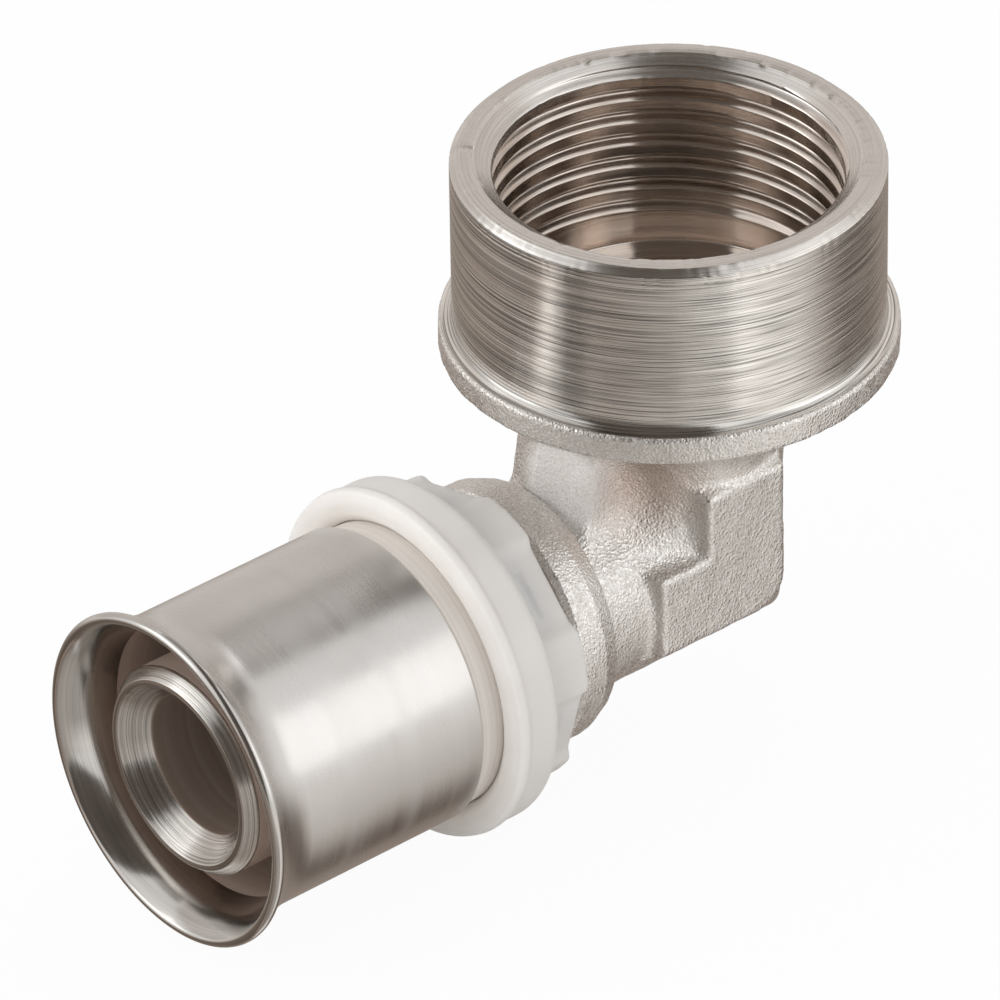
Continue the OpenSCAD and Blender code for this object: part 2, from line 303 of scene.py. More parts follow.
def surface(field, low, high, step):
    """Quads of the zero surface of a field of points, as (points, faces)."""
    axes = [np.arange(a, b + step, step) for a, b in zip(low, high)]
    values = np.empty([len(a) for a in axes])
    for i, x in enumerate(axes[0]):
        y, z = np.meshgrid(axes[1], axes[2], indexing="ij")
        values[i] = field(np.full_like(y, x), y, z)
    points, number = cell_points(values, low, step)
    return settled(field, points, step), cell_faces(values, number)


def necks_field(x, z, c, from_up, from_press):
    """Both necks, mitred at the heel and filled in the inner corner of their bend."""
    flare, flare_length, mitre_round = 0.45, 12.8, 0.9
    upright_top, level_end = -12.4, 14.0
    heel_fill, bend_fill, bend_reach = 0.1, 2.5, 3.5
    upright_tube = from_up - (NECK_R + flare * np.clip(c / flare_length, 0, 1))
    level_tube = from_press - NECK_R
    upright = smooth_max(upright_tube, np.minimum(level_tube, -c), mitre_round)
    level = smooth_max(level_tube, np.minimum(upright_tube, x), mitre_round)
    level = np.maximum(level, -x - level_end)
    upright = np.maximum(upright, z - upright_top)
    inner = np.clip(-x / bend_reach, 0, 1) * np.clip(c / bend_reach, 0, 1)
    return smooth_min(upright, level, heel_fill + bend_fill * inner)


def with_flange(body, z, from_up):
    """The body with the forged disk of the flange and the cone that carries it."""
    cone_r, cone_z = 10.27, -17.3
    cone_out, cone_up = 0.545, 0.838
    cone_top, cone_bottom, neck_fillet = -13.8, -19.5, 2.4
    disk_top, disk_bottom, top_edge, bottom_edge = -11.82, -13.9, 0.35, 0.6
    cone = (from_up - cone_r) * cone_out - (z - cone_z) * cone_up
    cone = np.maximum(np.maximum(cone, z - cone_top), cone_bottom - z)
    body = smooth_min(body, cone, neck_fillet)
    disk = smooth_max(smooth_max(from_up - FLANGE_R, z - disk_top, top_edge), disk_bottom - z, bottom_edge)
    return smooth_min(body, disk, top_edge)


def gusset_field(x, z, c, away):
    """The ridged gusset that fills the corner between the flange and the collar."""
    reach_at_collar, height, slope = 12.0, 12.5, 0.176
    ridge_out, ridge_side, half_width, side_edge = 0.92, 0.391, 4.0, 0.5
    top, root = -13.0, -2.0
    reach = reach_at_collar + (height - c) * slope
    facet = (-x - reach) * ridge_out + away * ridge_side
    facet = smooth_max(facet, away - half_width, side_edge)
    return np.maximum(np.maximum(facet, -c), np.maximum(z - top, x - root))


def flats_field(x, c, away):
    """The L-shaped flats on both sides, drafted towards their faces, with a rounded heel."""
    tall_front, tall_top = 3.65, 8.4
    low_front, low_top = 7.9, 3.4
    heel_r, flat_root, inner_corner, face_edge = 2.2, 2.5, 0.25, 0.4
    spread = (FLAT_REACH - away) * DRAFT

    def leg(front, top):
        return np.maximum(np.maximum(-front - spread - x, x - FLAT_BACK - spread),
                          np.maximum(FLAT_BOTTOM - spread - c, c - top - spread))

    heel_x = x - (FLAT_BACK - heel_r + spread)
    heel_c = -(c - (FLAT_BOTTOM + heel_r - spread))
    heel = np.where((heel_x > 0) & (heel_c > 0), np.hypot(heel_x, heel_c) - heel_r, -1.0)
    legs = smooth_min(leg(tall_front, tall_top), leg(low_front, low_top), inner_corner)
    flat = smooth_max(np.maximum(legs, heel), away - FLAT_REACH, face_edge)
    return np.maximum(flat, flat_root - away)


def forging_ripple(x, y, z):
    """The slow unevenness of a forged and blasted skin."""
    height = 0.016
    return height * (np.sin(1.9 * x + 0.7 * y) * np.sin(1.6 * y - 0.5 * z + 1.3)
                     + 0.6 * np.sin(3.1 * z + 1.1 * x + 0.4) * np.sin(2.7 * x - 1.9 * y)
                     + 0.4 * np.sin(5.3 * x + 4.1 * z) * np.sin(4.7 * y + 0.8))


def forging_field(x, y, z):
    """Distance to the forged elbow: flange, necks, flats and gusset, with its bores."""
    c = z - AXIS_Z
    from_up = np.hypot(x, y)
    from_press = np.hypot(y, c)
    away = np.abs(y)
    gusset_fillet, flat_fillet = 1.5, 0.8
    body = necks_field(x, z, c, from_up, from_press)
    body = with_flange(body, z, from_up)
    body = smooth_min(body, gusset_field(x, z, c, away), gusset_fillet)
    body = smooth_min(body, flats_field(x, c, away), flat_fillet)
    body = body + forging_ripple(x, y, z)

    bore_edge, hole_past_axis, bore_past_axis = 0.15, 2.24, 3.0
    hole = np.maximum(from_up - FLOOR_HOLE_R, -c - hole_past_axis)
    bore = np.maximum(from_press - WATER_R, x - bore_past_axis)
    body = smooth_max(body, -hole, bore_edge)
    body = smooth_max(body, -bore, bore_edge)
    seat_r, seat_bottom = 12.9, -14.95
    seat = np.maximum(from_up - seat_r, -(z - seat_bottom))
    return np.maximum(body, -seat)


def ring_windows(s, y, z):
    """The back part of the ring with its moulded pockets, and the slits in their floors."""
    back_end, back_edge, joint_edge, far = 21.5, 0.5, 0.2, 9.0
    pocket_floor, pocket_half, pocket_end = 10.5, 2.9, 20.7
    corner_round, end_round, pocket_edge = 0.8, 0.6, 1.1
    slit_floor, slit_half_length, slit_at, slit_half_width = 10.36, 1.75, 19.25, 0.17
    back = smooth_max(np.hypot(y, z) - RING_BACK_R, RING_START - s, back_edge)
    back = smooth_max(back, s - back_end, joint_edge)
    slits = np.full_like(s, far)
    for k in range(WINDOW_COUNT):
        turn = math.radians(WINDOW_TURN + 360 // WINDOW_COUNT * k)
        up = z * math.cos(turn) + y * math.sin(turn)
        side = np.abs(-z * math.sin(turn) + y * math.cos(turn))
        pocket = smooth_max(pocket_floor - up, side - pocket_half, corner_round)
        pocket = smooth_max(pocket, s - pocket_end, end_round)
        back = smooth_max(back, -pocket, pocket_edge)
        slit = np.maximum(np.maximum(side - slit_half_length, slit_floor - up),
                          np.abs(s - slit_at) - slit_half_width)
        slits = np.minimum(slits, slit)
    return back, slits


def ring_field(x, y, z):
    """Distance to the stop ring, from its own origin on the press axis."""
    s = -x
    r = np.hypot(y, z)
    back, slits = ring_windows(s, y, z)
    flange_start, flange_end, flange_edge, joint_edge = 20.9, 24.5, 0.9, 0.2
    flange = smooth_max(r - RING_FLANGE_R, flange_start - s, flange_edge)
    flange = smooth_max(flange, s - flange_end, joint_edge)
    lip_start, lip_edge, front_lean, front_round = 23.75, 0.3, 0.06, 1.8
    front = s - RING_END + front_lean * (RING_LIP_R - r)
    lip = smooth_max(smooth_max(r - RING_LIP_R, lip_start - s, lip_edge), front, front_round)
    back_fillet, lip_fillet = 0.35, 0.25
    body = smooth_min(smooth_min(back, flange, back_fillet), lip, lip_fillet)

    web_r, web_end, seat_r = 8.1, 18.65, 10.55
    mouth_r, mouth_at, mouth_start = 11.05, 24.9, 24.0
    mouth_out, mouth_along = 0.82, 0.573
    mouth = np.maximum((r - mouth_r) * mouth_out - (s - mouth_at) * mouth_along, mouth_start - s)
    inner = np.minimum(np.minimum(r - web_r, np.maximum(r - SLEEVE_BORE_R, web_end - s)),
                       np.minimum(np.maximum(r - seat_r, SLEEVE_START - s), mouth))
    inner_edge, slit_edge = 0.35, 0.1
    body = smooth_max(body, -inner, inner_edge)
    return smooth_max(body, -slits, slit_edge)


def nodes_of(name):
    """A new material with its node tree and shader."""
    material = bpy.data.materials.new(name)
    material.use_nodes = True
    tree = material.node_tree
    return material, tree, tree.nodes["Principled BSDF"]


def node(tree, kind, inputs=None, **settings):
    """A new node, with each input linked from a socket or set to a value."""
    made = tree.nodes.new(kind)
    for key, value in settings.items():
        setattr(made, key, value)
    for key, value in (inputs or {}).items():
        if isinstance(value, bpy.types.NodeSocket):
            tree.links.new(value, made.inputs[key])
        else:
            made.inputs[key].default_value = value
    return made


def place(tree):
    """Coordinates in the object's own frame, in metres."""
    return node(tree, "ShaderNodeTexCoord").outputs["Object"]


def maths(tree, operation, first, second, clamp=False):
    """One step of arithmetic on two values."""
    made = node(tree, "ShaderNodeMath", {0: first, 1: second}, operation=operation, use_clamp=clamp)
    return made.outputs[0]


def mixed(tree, share, first, second, blend="MIX"):
    """A colour between two others or, with MULTIPLY and a share of 1, their product."""
    inputs = {"Factor": share, 6: first, 7: second}
    return node(tree, "ShaderNodeMix", inputs, data_type="RGBA", blend_type=blend).outputs[2]


def distance_from(tree, spot):
    """Distance from a spot given in metres, in units of 10 mm."""
    made = node(tree, "ShaderNodeVectorMath", {0: place(tree), 1: spot}, operation="DISTANCE")
    return maths(tree, "MULTIPLY", made.outputs["Value"], 100.0)


def turned_place(tree, press):
    """Coordinates of a turned surface: radius, height and a slow change around the axis."""
    spot = node(tree, "ShaderNodeSeparateXYZ", {0: place(tree)}).outputs
    a, b, along = (spot["Y"], spot["Z"], spot["X"]) if press else (spot["X"], spot["Y"], spot["Z"])
    flat = node(tree, "ShaderNodeCombineXYZ", {"X": a, "Y": b}).outputs[0]
    radius = node(tree, "ShaderNodeVectorMath", {0: flat}, operation="LENGTH").outputs["Value"]
    slow = maths(tree, "MULTIPLY", a, 0.012)
    return node(tree, "ShaderNodeCombineXYZ", {"X": radius, "Y": along, "Z": slow}).outputs[0]


def noise(tree, vector, scale, detail=2.0, roughness=0.5):
    """Soft noise between 0 and 1."""
    return node(tree, "ShaderNodeTexNoise",
                {"Vector": vector, "Scale": scale, "Detail": detail, "Roughness": roughness}).outputs["Fac"]


def ramp(tree, value, stops):
    """A colour or a grey for each value, from (position, colour or grey)."""
    made = node(tree, "ShaderNodeValToRGB", {"Fac": value})
    elements = made.color_ramp.elements
    while len(elements) < len(stops):
        elements.new(0.5)
    for element, (position, colour) in zip(elements, stops):
        element.position = position
        element.color = (*colour, 1) if isinstance(colour, tuple) else (colour, colour, colour, 1)
    return made.outputs["Color"]


def bump(tree, height, strength, distance, normal=None):
    """A normal raised by a height, on top of an earlier one if there is one."""
    inputs = {"Height": height, "Strength": strength, "Distance": distance}
    if normal is not None:
        inputs["Normal"] = normal
    return node(tree, "ShaderNodeBump", inputs).outputs["Normal"]


def connect(tree, shader, **sockets):
    """Links outputs to the shader's inputs, where an underscore in a name stands for a space."""
    for name, socket in sockets.items():
        tree.links.new(socket, shader.inputs[name.replace("_", " ")])


def preset(shader, values):
    """Sets the inputs of the shader that are the same all over the surface."""
    for name, value in values.items():
        shader.inputs[name].default_value = value


def blasted_metal():
    """Nickel plate over a blasted forging: fine bright and dark grain, browner in its pits, with painted
    shade browning the inner corner of the bend.
    """
    painted_bend_shade_spot = (-0.0066, -0.0052, -0.0204)
    painted_lit_facet_spot = (-0.0116, -0.0019, -0.0200)
    material, tree, shader = nodes_of("blasted_nickel")
    spot = place(tree)
    patches = noise(tree, spot, scale=420, detail=4.0, roughness=0.6)
    colour = mixed(tree, patches, (0.70, 0.67, 0.64, 1), (0.82, 0.795, 0.765, 1))
    grain = noise(tree, spot, scale=5600, detail=2.0, roughness=0.6)
    dark = ramp(tree, grain, [(0.30, (0.76, 0.71, 0.66)), (0.44, (1.0, 1.0, 1.0))])
    colour = mixed(tree, 1.0, colour, dark, "MULTIPLY")
    # Painted shade: a brown darkening round a spot in the inner corner of the bend, standing in for the
    # shade that falls there.
    near_corner = distance_from(tree, painted_bend_shade_spot)
    brown = ramp(tree, near_corner, [(0.15, (0.78, 0.68, 0.63)), (0.50, (1.0, 1.0, 1.0))])
    colour = mixed(tree, 1.0, colour, brown, "MULTIPLY")
    # Painted highlight: round a spot on the gusset's facet the metal turns nearly non-metallic, so that the
    # facet shows as brightly lit.
    metal = ramp(tree, distance_from(tree, painted_lit_facet_spot), [(0.26, 0.15), (0.42, 0.92)])

    cells = node(tree, "ShaderNodeTexVoronoi", {"Vector": spot, "Scale": 5200.0}).outputs
    normal = bump(tree, cells["Distance"], strength=0.55, distance=0.0001)
    waves = noise(tree, spot, scale=1500, detail=2.0)
    normal = bump(tree, waves, strength=0.35, distance=0.00012, normal=normal)
    rough = ramp(tree, cells["Color"], [(0.25, 0.24), (0.6, 0.46)])
    connect(tree, shader, Base_Color=colour, Metallic=metal, Roughness=rough, Normal=normal)
    return material


def turned_metal(name, press, low, high, rough, marks, anisotropy=0.8, coarse=3600, fine=9000, metallic=1.0):
    """Turned metal with tool marks that run round its axis, from a low to a high colour."""
    material, tree, shader = nodes_of(name)
    spot = turned_place(tree, press)
    lines = noise(tree, spot, scale=fine, detail=2.0, roughness=0.7)
    bands = noise(tree, spot, scale=coarse, detail=3.0, roughness=0.6)
    stain = noise(tree, place(tree), scale=160, detail=3.0, roughness=0.55)
    tone = maths(tree, "MULTIPLY", maths(tree, "ADD", bands, stain), 0.5)
    colour = ramp(tree, tone, [(0.36, low), (0.62, high)])
    score = ramp(tree, lines, [(0.36, 1 - 0.75 * marks), (0.5, 1.0), (0.66, 1 + 0.4 * marks)])
    colour = mixed(tree, 1.0, colour, score, "MULTIPLY")
    roughness = ramp(tree, bands, [(0.3, rough * 0.8), (0.7, rough * 1.25)])
    tangent = node(tree, "ShaderNodeTangent", direction_type="RADIAL", axis="X" if press else "Z")
    normal = bump(tree, lines, strength=marks, distance=0.00003)
    normal = bump(tree, bands, strength=marks, distance=0.00004, normal=normal)
    preset(shader, {"Metallic": metallic, "Anisotropic": anisotropy, "Anisotropic Rotation": 0.25})
    connect(tree, shader, Base_Color=colour, Roughness=roughness, Tangent=tangent.outputs[0], Normal=normal)
    return material


def shaded_metal(name, low, high):
    """The metal deep in the mouth: painted shade in its colour, browned as a painted reflection of what it
    reflects many times over, mottled at random.
    """
    material, tree, shader = nodes_of(name)
    stain = noise(tree, turned_place(tree, True), scale=1800, detail=3.0)
    preset(shader, {"Metallic": 0.5, "Roughness": 0.4})
    connect(tree, shader, Base_Color=ramp(tree, stain, [(0.3, low), (0.7, high)]))
    return material


def milky_plastic():
    """Milky nylon, a little see-through, with a soft sheen."""
    material, tree, shader = nodes_of("milky_plastic")
    spot = place(tree)
    clouds = noise(tree, spot, scale=230, detail=3.0)
    colour = ramp(tree, clouds, [(0.3, (0.755, 0.72, 0.68)), (0.7, (0.795, 0.765, 0.73))])
    grain = noise(tree, spot, scale=2400, detail=2.0)
    preset(shader, {"Subsurface Weight": 0.6, "Subsurface Radius": (0.0016, 0.0015, 0.0014),
                    "Subsurface Scale": 1.0, "IOR": 1.53})
    connect(tree, shader, Base_Color=colour, Roughness=ramp(tree, clouds, [(0.3, 0.38), (0.7, 0.5)]),
            Normal=bump(tree, grain, strength=0.2, distance=0.00003))
    return material


def seal_rubber():
    """Black rubber with a faint haze."""
    material, tree, shader = nodes_of("seal_rubber")
    haze = noise(tree, place(tree), scale=900, detail=3.0)
    colour = ramp(tree, haze, [(0.35, (0.018, 0.018, 0.019)), (0.7, (0.035, 0.034, 0.033))])
    connect(tree, shader, Base_Color=colour, Roughness=ramp(tree, haze, [(0.3, 0.42), (0.7, 0.6)]),
            Normal=bump(tree, haze, strength=0.2, distance=0.00002))
    return material


def make_forged_elbow(blasted):
    low, high, step = (-17.0, -16.6, -42.4), (16.6, 16.6, -11.2), 0.236
    points, faces = surface(forging_field, low, high, step)
    piece("forged_elbow", points, faces, [blasted], "elbow_body", sharp=180)


def knocks(turn, count, depth, width, seed):
    """Depth of small knocks along an edge, at each angle."""
    chance = np.random.default_rng(seed)
    at = chance.uniform(0, 2 * math.pi, count)
    deep = depth * chance.uniform(0.1, 1.0, count) ** 2
    wide = width * chance.uniform(0.5, 1.6, count)
    gap = np.abs((np.asarray(turn)[..., None] - at + math.pi) % (2 * math.pi) - math.pi)
    return (deep * np.clip(1 - (gap / wide) ** 2, 0, 1)).sum(-1)


def thread_radius(turn, z, first_crest):
    """Radius of the threaded wall at an angle and a height, with its mouth chamfer and run-out."""
    crest_share, flank_share, run_out, first_z, cone_slope = 0.4, 0.55, 1.2, -1.4, 1.3
    phase = (z / THREAD_PITCH - turn / (2 * math.pi)) % 1.0
    wave = np.abs(2 * phase - 1)
    cut = np.clip((wave - crest_share) / flank_share, 0, 1)
    cut = cut * cut * (3 - 2 * cut)
    depth = (ROOT_R - CREST_R) * np.clip((z - THREAD_END) / run_out, 0, 1)
    worn = np.where(z > first_z, first_crest, 0.0)
    cone = CREST_R + cone_slope * z
    return np.maximum(np.maximum(CREST_R + depth * cut, CREST_R + worn), cone)


def make_socket(materials):
    """The turned socket: its rim, its wall with the thread, and its floor."""
    turned, threaded, faced, smooth = range(4)
    around, wall_step, near = 420, 0.08, 0.16
    fillet_r, fillet_z, flange_r = 0.7, -11.1, 15.78
    seat_r, seat_z, floor_z, wall_foot_z = 13.3, -15.0, -13.9, -13.8
    turn = np.linspace(0, 2 * math.pi, around, endpoint=False)

    inside = [(FLOOR_HOLE_R, floor_z, 0.12, smooth), (RELIEF_R, wall_foot_z, 0.2, smooth),
              (RELIEF_R, RELIEF_TOP, 0, smooth)]
    rim = [(MOUTH_R, MOUTH_Z, 0, turned), (RIM_R, MOUTH_Z, 0.1, turned),
           (SOCKET_R, MOUTH_Z - RIM_CHAMFER, 0.1, turned)]
    fillet = [(SOCKET_R + fillet_r - fillet_r * math.cos(t), fillet_z - fillet_r * math.sin(t), 0, turned)
              for t in np.linspace(0, math.pi / 2, 10)]
    flange = [(flange_r, fillet_z - fillet_r, 0, turned), (15.5, -12.15, 0, turned),
              (seat_r, -12.7, 0, turned), (seat_r, seat_z, 0, threaded), (FLOOR_HOLE_R, seat_z, 0, threaded)]
    outline, kinds = refined(*rounded(inside + rim + fillet + flange), longest=1.2)

    def far_from(line, r, z):
        return np.hypot(line[:, 0] - r, line[:, 1] - z)

    start = int(np.argmin(far_from(outline, RELIEF_R, RELIEF_TOP)))
    stop = int(np.argmin(far_from(outline, MOUTH_R, MOUTH_Z)))
    wall_z = np.append(np.arange(-12.3, 0.9, wall_step), [0.94, 0.98])
    inner = knocks(turn, 90, 0.08, 0.016, seed=3) + knocks(turn, 12, 0.12, 0.03, seed=4)
    outer = knocks(turn, 110, 0.05, 0.014, seed=5) + knocks(turn, 10, 0.08, 0.04, seed=6)
    crest = knocks(turn, 60, 0.03, 0.03, seed=7) + knocks(turn, 8, 0.05, 0.05, seed=8)
    full = []
    for i, angle in enumerate(turn):
        wall = np.stack([thread_radius(angle, wall_z, crest[i]), wall_z], -1)
        wall[-2:, 1] -= 0.8 * inner[i]
        rest = outline[stop:].copy()
        rest[far_from(rest, MOUTH_R, MOUTH_Z) < 0.05] += (0.4 * inner[i], -inner[i])
        top = far_from(rest, RIM_R, MOUTH_Z) < near
        side = far_from(rest, SOCKET_R, MOUTH_Z - RIM_CHAMFER) < near
        rest[top] -= (0.5 * outer[i], 0.7 * outer[i])
        rest[side, 0] -= 0.6 * outer[(i * 7) % around]
        full.append(np.concatenate([outline[:start + 1], wall, rest]))
    full = np.array(full)

    smooth_below, faced_above, rim_above = -11.6, -0.3, 0.9
    wall_kinds = np.where(wall_z < smooth_below, smooth, np.where(wall_z > faced_above, faced, threaded))
    rest_kinds = np.where(outline[stop:, 1] > rim_above, faced, kinds[stop:])
    kinds = np.concatenate([kinds[:start + 1], wall_kinds, rest_kinds])
    piece("socket_turned", lathe(full, around, False), ring_faces(around, full.shape[1]), materials,
          "elbow_body", np.tile(kinds, around), sharp=50)


def make_collar(blasted):
    """The blasted collar, a turn wider towards its front, with a crisp back edge."""
    around, back, front, joint, joint_r = 240, 12.85, 16.6, 12.6, 7.4
    corners = [(WATER_R, joint, 0, 0), (joint_r, joint, 0, 0), (joint_r, back, 0, 0),
               (COLLAR_R - 0.6, back, 0.12, 0), (COLLAR_R, 14.25, 0.3, 0), (COLLAR_R, 16.2, 0.15, 0),
               (9.35, front, 0.15, 0), (WATER_R, front, 0, 0)]
    outline, _ = refined(*rounded(corners), longest=0.5)
    points = lathe(outline, around, True)
    turn = np.arctan2(points[:, 2], points[:, 1])
    wave = (np.sin(9 * turn + 2.1 * points[:, 0]) + np.sin(23 * turn - 3.3 * points[:, 0] + 1)
            + np.sin(41 * turn + 5.7 * points[:, 0] + 2))
    r = np.hypot(points[:, 1], points[:, 2])
    outside_r, wave_height, sunk = 9, 0.011, 0.03
    points[:, 1:] *= (1 + np.where(r > outside_r, wave_height * wave - sunk, 0.0) / r)[:, None]
    piece("collar_blasted", points, ring_faces(around, len(outline)), [blasted], "elbow_body",
          origin=PRESS_ORIGIN, sharp=35)


def teeth(start):
    """Three teeth that let the pipe on and hold it."""
    tooth_pitch, high, low = 1.6, 7.95, 7.45
    corners = []
    for i in range(3):
        corners.append((high, start + (i + 0.15) * tooth_pitch, 0.06, 0))
        corners.append((low, start + (i + 0.95) * tooth_pitch, 0.08, 0))
    return corners


def seal_groove(at):
    """The groove of a seal ring, centred at a place along the spigot."""
    floor_r, half = 6.4, 1.15
    corners = ((SPIGOT_R, -half), (floor_r, -half), (floor_r, half), (SPIGOT_R, half))
    return [(r, at + h, 0.12, 0) for r, h in corners]


def make_spigot(materials):
    """The hub with the groove and bead of the stop ring, and the toothed spigot with its seal grooves."""
    around, start, hub_end, bead_at, bead_end = 220, 16.4, 17.05, 18.65, 19.05
    first_teeth, back_groove, second_teeth, front_groove = 20.35, 29.1, 30.7, 37.1
    hub = [(WATER_R, start, 0, 0), (HUB_R, start, 0, 0), (HUB_R, hub_end, 0.08, 0),
           (RING_GROOVE_R, hub_end, 0.1, 0), (RING_GROOVE_R, bead_at, 0.1, 0),
           (BEAD_R, bead_at, 0.08, 0), (BEAD_R, bead_end, 0.08, 0), (SPIGOT_R, 19.35, 0.1, 0)]
    grip = [(SPIGOT_R, first_teeth, 0, 0), *teeth(first_teeth), (SPIGOT_R, 25.15, 0, 0),
            *seal_groove(back_groove), (SPIGOT_R, second_teeth, 0, 0), *teeth(second_teeth),
            (SPIGOT_R, 35.5, 0, 0), *seal_groove(front_groove)]
    tip = [(SPIGOT_R, 43.5, 0.4, 0), (7.0, TIP_AT, 0.12, 0), (6.6, TIP_AT, 0.1, 0),
           (WATER_R, TIP_AT - 2, 0.3, 1)]
    outline, kinds = refined(*rounded(hub + grip + tip), longest=1.5)
    # Faces hidden under the ring and sleeve take painted shade, and the bore a darker painted shade.
    hidden = (outline[:, 0] > 6) & (outline[:, 1] < TIP_AT - 1)
    turned, shaded, bore = range(3)
    kinds = np.where(hidden, shaded, np.where(kinds == 1, bore, turned))
    piece("spigot", lathe(outline, around, True), ring_faces(around, len(outline)), materials,
          "elbow_body", np.tile(kinds, around), origin=PRESS_ORIGIN, sharp=45)


def make_sleeve(materials):
    """The press sleeve: its turned down end in the ring, its satin wall and its flare with a round lip."""
    satin, matte, polished, inside = range(4)
    around, end_r, arc, angle, flare = 300, 10.5, 5.70, math.radians(37.85), 41.4
    centre, lip = SLEEVE_R + arc, SLEEVE_WALL / 2

    def along_arc(radius, t):
        return centre - radius * math.cos(t), flare + radius * math.sin(t)

    corners = [(SLEEVE_BORE_R, SLEEVE_START, 0.1, satin), (end_r, SLEEVE_START, 0.1, matte),
               (end_r, 26.0, 0.15, matte), (10.8, 26.3, 0.05, polished), (SLEEVE_R, 26.45, 0.1, satin)]
    corners += [(*along_arc(arc, t), 0, satin) for t in np.linspace(0, angle, 14)]
    for t in np.linspace(0, math.pi, 12)[1:-1]:
        r, h = along_arc(arc + lip - lip * math.cos(t), angle)
        past = lip * math.sin(t)
        corners.append((r + past * math.sin(angle), h + past * math.cos(angle), 0, polished))
    corners += [(*along_arc(arc + SLEEVE_WALL, t), 0, polished) for t in np.linspace(angle, 0, 14)]
    # The sleeve's inside takes the painted shade of the gap.
    corners[-1] = (*corners[-1][:3], inside)
    outline, kinds = refined(*rounded(corners), longest=1.5)
    piece("press_sleeve_steel", lathe(outline, around, True), ring_faces(around, len(outline)), materials,
          "press_sleeve", np.tile(kinds, around), origin=PRESS_ORIGIN, sharp=40)


def make_ring(plastic):
    low, high, step = (-25.4, -13.7, -13.7), (-16.6, 13.7, 13.7), 0.16
    points, faces = surface(ring_field, low, high, step)
    piece("stop_ring_plastic", points, faces, [plastic], "stop_ring",
          origin=PRESS_ORIGIN, sharp=180)


def make_seals(rubber):
    """The seal rings keep their solids and take a material."""
    for name in ("seal_front_ring", "seal_back_ring"):
        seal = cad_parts[name]
        seal.data.materials.clear()
        seal.data.materials.append(rubber)


def stage_mesh(name, points, faces, material):
    mesh = bpy.data.meshes.new(name)
    mesh.from_pydata(points, [], faces)
    mesh.materials.append(material)
    obj = bpy.data.objects.new(name, mesh)
    bpy.context.collection.objects.link(obj)
    return obj


def sheet(rows, closed=False):
    """Points and quads of a sheet through rows of points, closed round each row or open."""
    width = len(rows[0])
    faces = []
    for j in range(len(rows) - 1):
        for i in range(width if closed else width - 1):
            k = (i + 1) % width
            faces.append((j * width + i, j * width + k, (j + 1) * width + k, (j + 1) * width + i))
    return [point for row in rows for point in row], faces


def card(name, points, faces, material):
    """A studio card, out of the picture, that shows in the metal alone."""
    obj = stage_mesh(name, points, faces, material)
    obj.visible_camera = False
    obj.visible_diffuse = False
    obj.visible_transmission = False
    obj.visible_shadow = False
    obj.visible_volume_scatter = False
    return obj


def round_card(name, points, faces, material):
    """A card set out from the camera's side."""
    obj = card(name, points, faces, material)
    obj.rotation_euler = (0, 0, TOWARDS_CAMERA)
    obj.location = STUDIO_PLACE


def glow(name, colour_of):
    """A material that gives light of a colour."""
    material = bpy.data.materials.new(name)
    material.use_nodes = True
    tree = material.node_tree
    tree.nodes.remove(tree.nodes["Principled BSDF"])
    light = node(tree, "ShaderNodeEmission", {"Strength": 1.0})
    tree.links.new(colour_of(tree), light.inputs["Color"])
    tree.links.new(light.outputs[0], tree.nodes["Material Output"].inputs["Surface"])
    return material


def clouded(name, scale, low, high):
    """A glow that drifts slowly between two colours."""
    def colour(tree):
        return ramp(tree, noise(tree, place(tree), scale), [(0.3, low), (0.7, high)])
    return glow(name, colour)


def surround_colour(tree):
    """Soft and dark cards around the object, by compass direction from the camera's side."""
    spot = node(tree, "ShaderNodeSeparateXYZ", {0: place(tree)}).outputs
    angle = maths(tree, "ARCTAN2", spot["Y"], spot["X"])
    limits = {1: -math.pi, 2: math.pi, 3: 0.0, 4: 1.0}
    share = node(tree, "ShaderNodeMapRange", {"Value": angle, **limits}).outputs[0]
    shade, dark, grey = (0.17, 0.135, 0.115), (0.20, 0.155, 0.13), (0.48, 0.45, 0.42)
    soft, steel = (0.57, 0.55, 0.52), (0.38, 0.34, 0.31)
    low = [(-178, (0.45, 0.40, 0.35)), (-150, (0.31, 0.26, 0.22)), (-122, (0.26, 0.215, 0.18)),
           (-106, (0.225, 0.18, 0.15)), (-88, shade), (-76, (0.165, 0.13, 0.11)),
           (-71, (0.37, 0.30, 0.25)), (-60, (0.54, 0.44, 0.37)), (-58, dark), (-40, (0.34, 0.30, 0.27)),
           (-10, grey), (27, soft), (33, soft), (36, (1.16, 1.13, 1.10)),
           (70, (0.92, 0.90, 0.87)), (88, (0.48, 0.43, 0.39)), (99, shade),
           (130, (0.15, 0.12, 0.10)), (144, (0.32, 0.265, 0.225)), (178, (0.36, 0.30, 0.26))]
    high = [(-178, (0.75, 0.71, 0.68)), (-80, (0.98, 0.94, 0.90)), (-62, (0.90, 0.78, 0.70)),
            (-56, steel), (-30, steel), (0, (0.52, 0.49, 0.46)),
            (14, (0.98, 0.95, 0.92)), (38, (1.05, 1.03, 1.0)), (178, (0.72, 0.68, 0.65))]

    def by_angle(stops):
        return ramp(tree, share, [((degrees + 180) / 360, colour) for degrees, colour in stops])

    heights = {1: -0.26, 2: -0.10, 3: 0.0, 4: 1.0}
    lift = node(tree, "ShaderNodeMapRange", {"Value": spot["Z"], **heights}).outputs[0]
    return mixed(tree, lift, by_angle(low), by_angle(high))


def make_surround():
    """The ring of cards below the object's horizon."""
    radius, around = 0.6, 96
    turns = [2 * math.pi * i / around for i in range(around)]
    rows = []
    for level in (-80, -60, -45, -30, -15, -4):
        flat = radius * math.cos(math.radians(level))
        high = radius * math.sin(math.radians(level))
        rows.append([(flat * math.cos(turn), flat * math.sin(turn), high) for turn in turns])
    round_card("surround", *sheet(rows, closed=True), glow("surround_cards", surround_colour))


